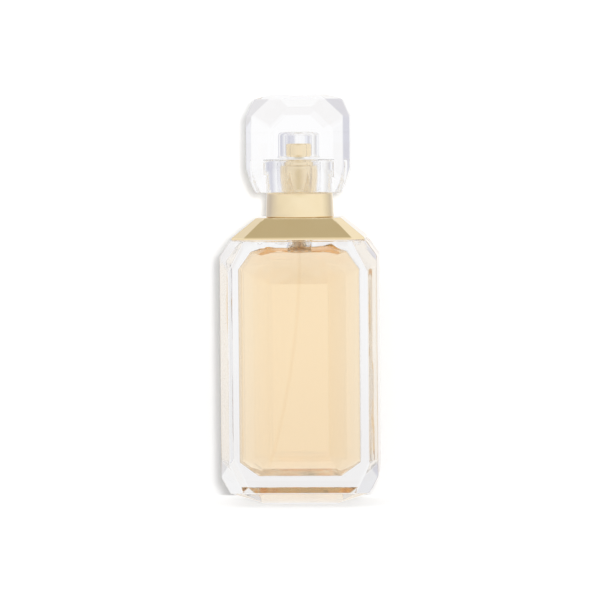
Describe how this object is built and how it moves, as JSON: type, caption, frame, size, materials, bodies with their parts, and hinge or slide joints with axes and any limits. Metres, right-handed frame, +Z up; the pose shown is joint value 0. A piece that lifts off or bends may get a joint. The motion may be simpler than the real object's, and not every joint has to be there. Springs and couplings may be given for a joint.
{
  "type": "perfume bottle",
  "caption": "Step-cut clear glass perfume bottle of amber liquid, with a hipped gold shoulder plate, gold collar, crimped spray pump and clear faceted lift-off cap.",
  "frame": {"origin": "centre of the flat base, on the surface that the bottle stands on", "axes": "+Z up along the neck and pump, +X across the wide front to the viewer's right, front face towards -Y"},
  "size_m": [0.0588, 0.04, 0.1542],
  "materials": {
    "clear_glass": "polished clear glass",
    "clear_cap_resin": "polished clear resin",
    "clear_plastic": "clear moulding",
    "amber_liquid": "clear amber liquid",
    "polished_gold": "polished pale gold plating",
    "anodised_aluminium": "satin gold anodised",
    "stainless_steel": "bright",
    "white_moulding": "satin natural white",
    "grey_moulding": "satin grey",
    "nitrile_seal": "matt black"
  },
  "bodies": {
    "bottle": {"glass_flacon": "clear_glass", "perfume_fill": "amber_liquid", "dip_tube": "clear_plastic", "shoulder_plate": "polished_gold", "collar_shell": "polished_gold", "collar_insert": "white_moulding", "crimp_ferrule": "anodised_aluminium", "neck_gasket": "nitrile_seal", "pump_housing": "white_moulding", "pump_cover": "white_moulding", "stem_gasket": "nitrile_seal", "ball_retainer": "white_moulding", "return_spring": "stainless_steel"},
    "plunger": {"pump_stem": "white_moulding", "pump_piston": "grey_moulding"},
    "button": {"actuator_shell": "polished_gold", "actuator_core": "white_moulding", "spray_nozzle": "white_moulding"},
    "inlet_valve": {"inlet_ball": "stainless_steel"},
    "cap": {"cap_crystal": "clear_cap_resin", "cap_liner": "clear_plastic"}
  },
  "joints": [
    {"name": "cap_lift", "type": "slide", "parent": "bottle", "child": "cap", "axis": [0, 0, 1], "range_m": [0, 0.03]},
    {"name": "pump_stroke", "type": "slide", "parent": "bottle", "child": "plunger", "axis": [0, 0, -1], "range_m": [0, 0.0045], "stiffness_N_per_m": 800, "springref_m": -0.004, "deforming": ["return_spring"]},
    {"name": "button_swivel", "type": "hinge", "parent": "plunger", "child": "button", "pos_m": [0, 0, 0.1262], "axis": [0, 0, 1], "continuous": true},
    {"name": "inlet_ball_lift", "type": "slide", "parent": "bottle", "child": "inlet_valve", "axis": [0, 0, 1], "range_m": [0, 0.0008]}
  ]
}
